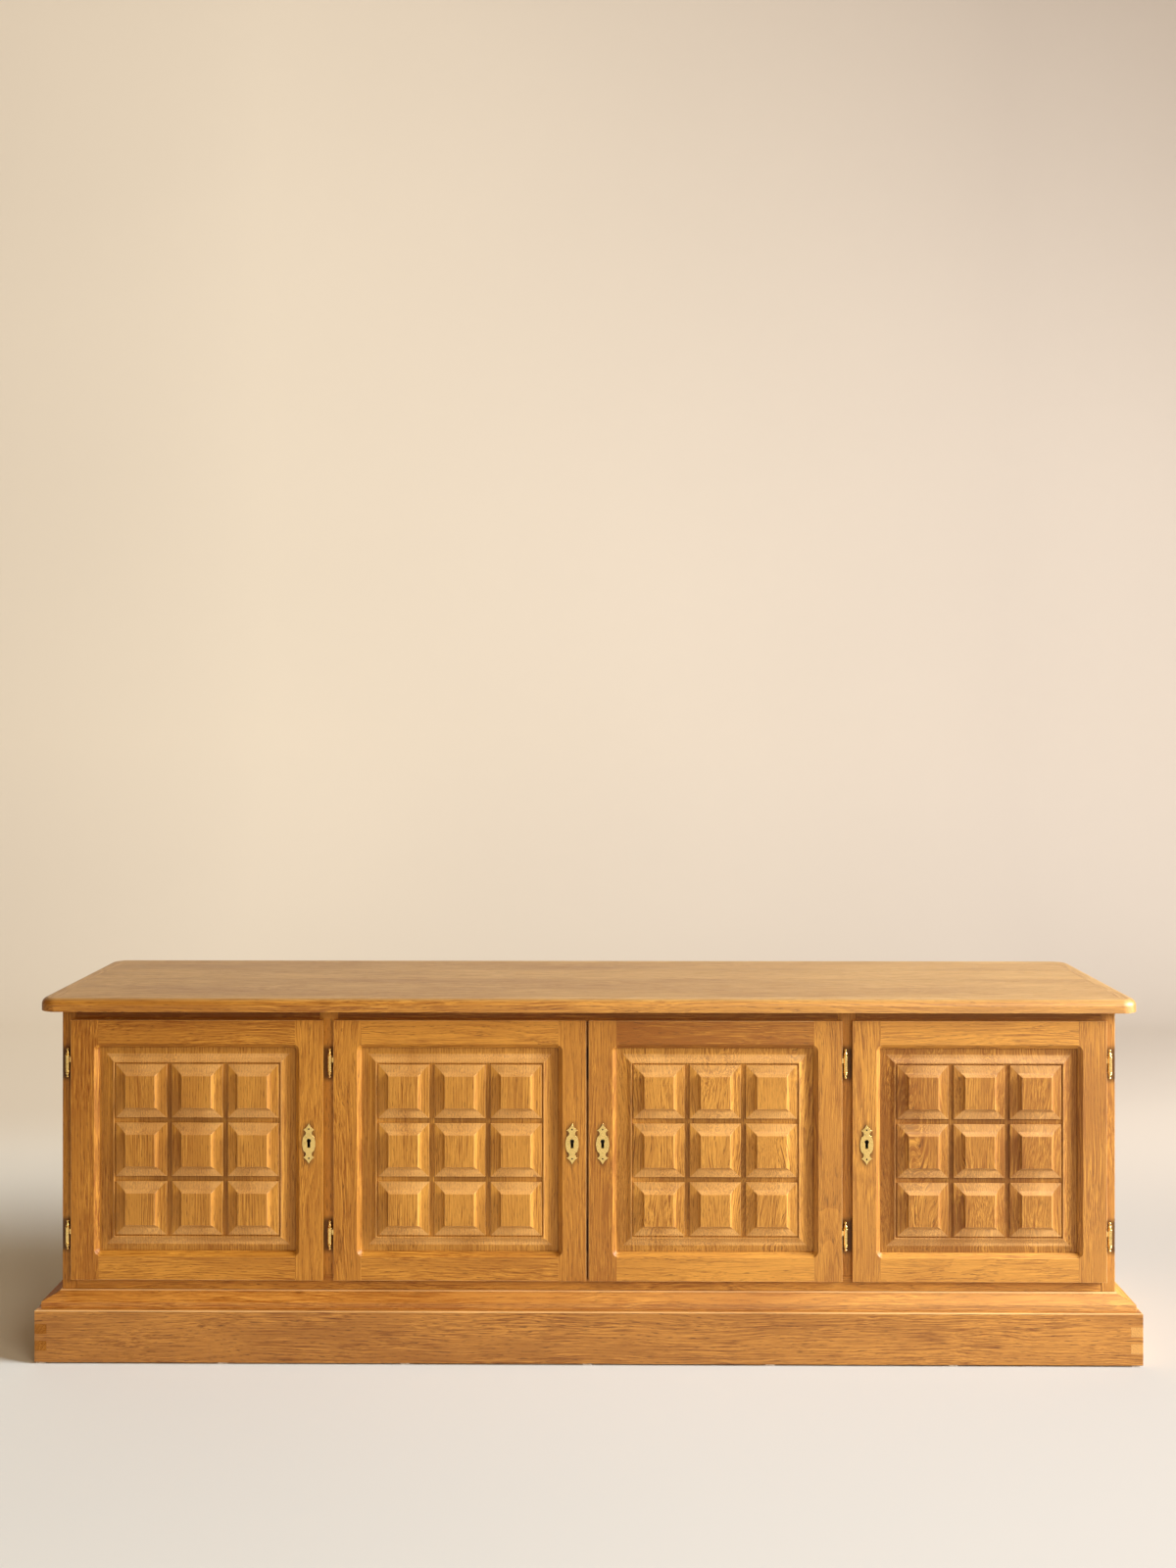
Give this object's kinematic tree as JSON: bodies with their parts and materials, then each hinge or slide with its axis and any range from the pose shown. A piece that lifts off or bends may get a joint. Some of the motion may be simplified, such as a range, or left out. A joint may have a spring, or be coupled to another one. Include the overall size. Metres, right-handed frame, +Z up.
{
  "type": "sideboard",
  "caption": "Low oak sideboard with coffered overlay doors on finial hinges, locks with key plates, shelves behind the doors, a rounded top and a moulded base on a plinth.",
  "frame": {"origin": "on the floor, below the middle of the plinth", "axes": "+X along the front to the right as one faces it, +Y from the front to the back, +Z up"},
  "size_m": [2.2, 0.5, 0.725],
  "materials": {
    "top_oak": "satin lacquered oak",
    "carcass_oak": "satin lacquered oak",
    "plinth_oak": "satin lacquered oak",
    "door_oak": "satin lacquered oak",
    "panel_oak": "satin lacquered oak",
    "back_board": "plain veneered board",
    "shelf_board": "satin veneered board",
    "brass": "polished, a little aged",
    "lock_steel": "plain pressed steel",
    "lock_brass": "machined",
    "glide_plastic": "moulded"
  },
  "bodies": {
    "carcass": {"back_panel": "back_board", "back_top_rail": "carcass_oak", "base_back": "plinth_oak", "base_front": "plinth_oak", "base_left": "plinth_oak", "base_right": "plinth_oak", "bottom_board": "carcass_oak", "centre_partition": "carcass_oak", "front_top_rail": "carcass_oak", "glides": "glide_plastic", "hinge_frame_halves": "brass", "left_divider_stile": "carcass_oak", "left_partition": "carcass_oak", "left_side": "carcass_oak", "plinth_back": "plinth_oak", "plinth_front": "plinth_oak", "plinth_left": "plinth_oak", "plinth_right": "plinth_oak", "right_divider_stile": "carcass_oak", "right_partition": "carcass_oak", "right_side": "carcass_oak", "shelf_battens": "carcass_oak", "shelves": "shelf_board", "top_back_lipping": "top_oak", "top_field": "top_oak", "top_front_lipping": "top_oak", "top_left_lipping": "top_oak", "top_right_lipping": "top_oak"},
    "door_1": {"door_1_hinge_stile": "door_oak", "door_1_lock_stile": "door_oak", "door_1_rails": "door_oak", "door_1_panel": "panel_oak", "door_1_hinge_halves": "brass", "door_1_key_plate": "brass", "door_1_lock": "lock_steel"},
    "bolt_1": {"door_1_bolt": "lock_brass"},
    "door_2": {"door_2_hinge_stile": "door_oak", "door_2_lock_stile": "door_oak", "door_2_rails": "door_oak", "door_2_panel": "panel_oak", "door_2_hinge_halves": "brass", "door_2_key_plate": "brass", "door_2_lock": "lock_steel"},
    "bolt_2": {"door_2_bolt": "lock_brass"},
    "door_3": {"door_3_hinge_stile": "door_oak", "door_3_lock_stile": "door_oak", "door_3_rails": "door_oak", "door_3_panel": "panel_oak", "door_3_hinge_halves": "brass", "door_3_key_plate": "brass", "door_3_lock": "lock_steel"},
    "bolt_3": {"door_3_bolt": "lock_brass"},
    "door_4": {"door_4_hinge_stile": "door_oak", "door_4_lock_stile": "door_oak", "door_4_rails": "door_oak", "door_4_panel": "panel_oak", "door_4_hinge_halves": "brass", "door_4_key_plate": "brass", "door_4_lock": "lock_steel"},
    "bolt_4": {"door_4_bolt": "lock_brass"}
  },
  "joints": [
    {"name": "door_1_swing", "type": "hinge", "parent": "carcass", "child": "door_1", "pos_m": [-1.0457, -0.2143, 0.431], "axis": [0, 0, -1], "range_deg": [0, 110]},
    {"name": "bolt_1_throw", "type": "slide", "parent": "door_1", "child": "bolt_1", "axis": [1, 0, 0], "range_m": [0, 0.008]},
    {"name": "door_2_swing", "type": "hinge", "parent": "carcass", "child": "door_2", "pos_m": [-0.51745, -0.2143, 0.431], "axis": [0, 0, -1], "range_deg": [0, 110]},
    {"name": "bolt_2_throw", "type": "slide", "parent": "door_2", "child": "bolt_2", "axis": [1, 0, 0], "range_m": [0, 0.008]},
    {"name": "door_3_swing", "type": "hinge", "parent": "carcass", "child": "door_3", "pos_m": [0.51745, -0.2143, 0.431], "axis": [0, 0, 1], "range_deg": [0, 110]},
    {"name": "bolt_3_throw", "type": "slide", "parent": "door_3", "child": "bolt_3", "axis": [-1, 0, 0], "range_m": [0, 0.008]},
    {"name": "door_4_swing", "type": "hinge", "parent": "carcass", "child": "door_4", "pos_m": [1.0457, -0.2143, 0.431], "axis": [0, 0, 1], "range_deg": [0, 110]},
    {"name": "bolt_4_throw", "type": "slide", "parent": "door_4", "child": "bolt_4", "axis": [-1, 0, 0], "range_m": [0, 0.008]}
  ]
}
